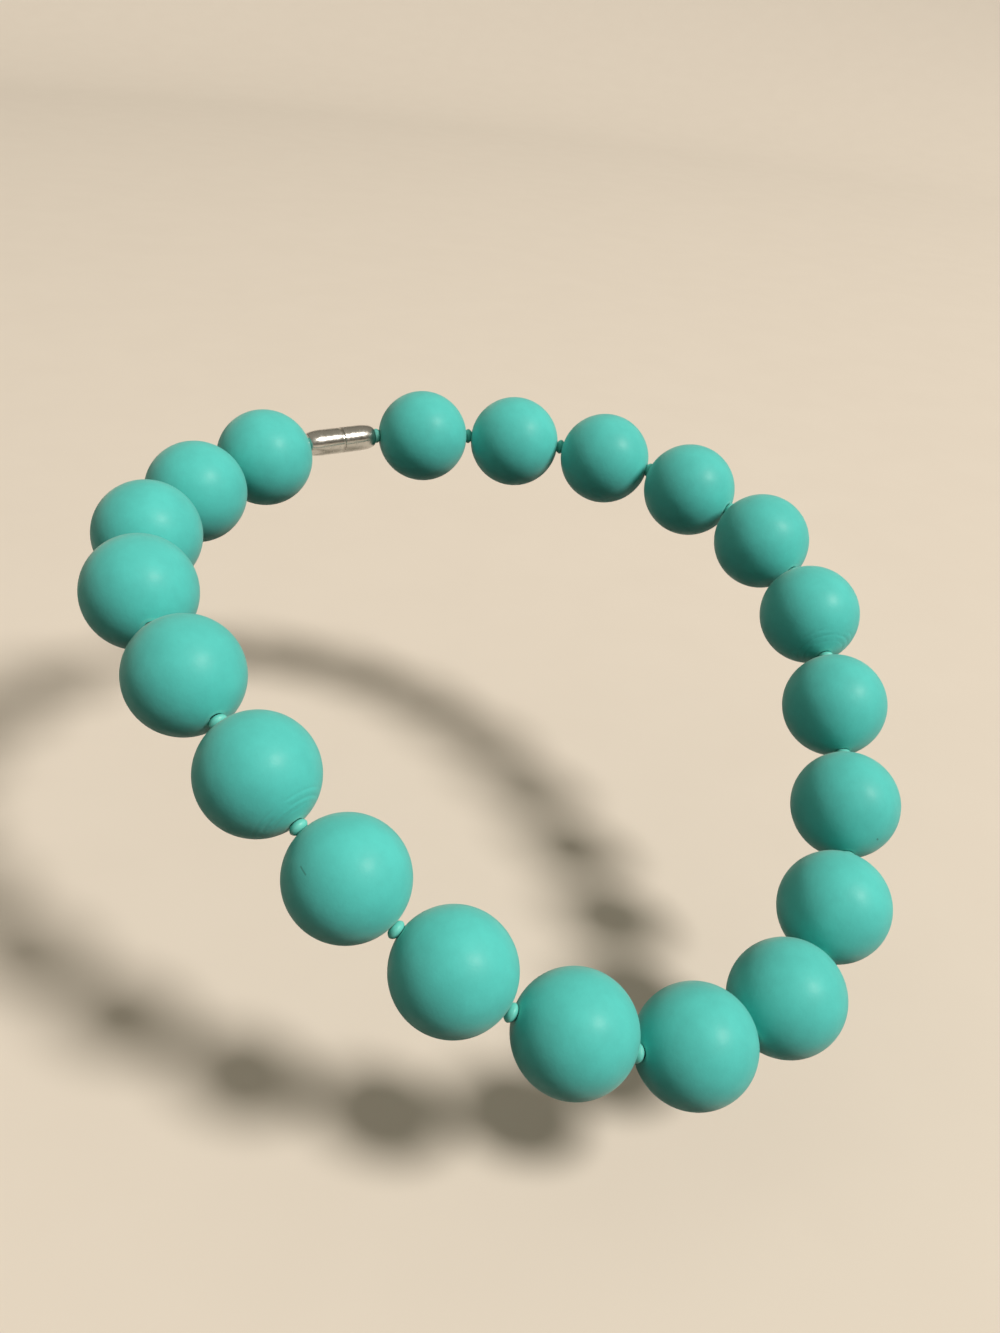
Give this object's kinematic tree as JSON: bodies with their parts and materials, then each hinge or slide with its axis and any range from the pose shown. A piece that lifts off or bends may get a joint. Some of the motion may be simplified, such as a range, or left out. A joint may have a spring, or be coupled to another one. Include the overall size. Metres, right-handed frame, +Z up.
{
  "type": "beaded necklace",
  "caption": "Closed necklace of large round beads with small spacer beads between them, strung on one thread and joined behind the nape by a barrel clasp.",
  "frame": {"origin": "middle of the barrel clasp, which lies on the nape of the wearer's neck", "axes": "+Z up as worn, -Y to the front of the wearer, +X to the wearer's left; the string hangs lower at the front"},
  "size_m": [0.1852, 0.1977, 0.0851],
  "materials": {
    "bead": "turquoise rubber-coated acrylic, satin",
    "spacer": "opaque turquoise glass seed bead, satin",
    "thread": "twisted nylon beading thread, dark turquoise",
    "clasp": "rhodium-plated brass, polished"
  },
  "bodies": {
    "root": {"bead_01": "bead", "bead_02": "bead", "bead_03": "bead", "bead_04": "bead", "bead_05": "bead", "bead_06": "bead", "bead_07": "bead", "bead_08": "bead", "bead_09": "bead", "bead_10": "bead", "bead_11": "bead", "bead_12": "bead", "bead_13": "bead", "bead_14": "bead", "bead_15": "bead", "bead_16": "bead", "bead_17": "bead", "bead_18": "bead", "bead_19": "bead", "bead_20": "bead", "clasp": "clasp", "spacer_01": "spacer", "spacer_02": "spacer", "spacer_03": "spacer", "spacer_04": "spacer", "spacer_05": "spacer", "spacer_06": "spacer", "spacer_07": "spacer", "spacer_08": "spacer", "spacer_09": "spacer", "spacer_10": "spacer", "spacer_11": "spacer", "spacer_12": "spacer", "spacer_13": "spacer", "spacer_14": "spacer", "spacer_15": "spacer", "spacer_16": "spacer", "spacer_17": "spacer", "spacer_18": "spacer", "spacer_19": "spacer", "spacer_20": "spacer", "spacer_21": "spacer", "thread": "thread"}
  },
  "joints": []
}
